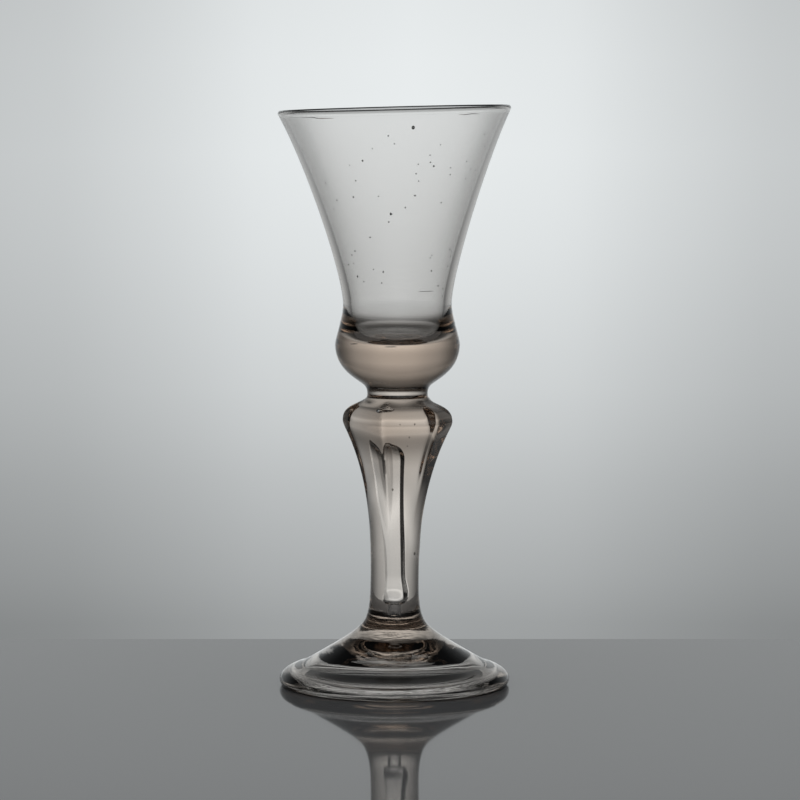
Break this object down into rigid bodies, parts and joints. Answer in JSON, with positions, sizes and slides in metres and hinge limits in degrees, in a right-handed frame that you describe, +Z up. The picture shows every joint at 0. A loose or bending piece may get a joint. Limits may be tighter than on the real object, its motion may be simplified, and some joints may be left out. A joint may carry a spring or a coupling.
{
  "type": "wine glass",
  "caption": "Stemmed drinking glass: a flared bell bowl with a thick solid base, a shouldered moulded pedestal stem holding a long air tear, and a conical foot with a folded rim.",
  "frame": {"origin": "on the plane the foot stands on, under the middle of the foot", "axes": "+Z up along the glass, towards the rim; -Y is the side that faces the camera in the picture, and +X is its right"},
  "size_m": [0.0644, 0.0644, 0.1608],
  "materials": {
    "glass": "clear old soda-lime or lead glass, fire-polished, with a faint warm grey cast where it is thick",
    "broken_glass": "the same glass, snapped and left rough"
  },
  "bodies": {
    "root": {"bowl": "glass", "neck_collar": "glass", "stem": "glass", "foot": "glass", "pontil_scar": "broken_glass"}
  },
  "joints": []
}
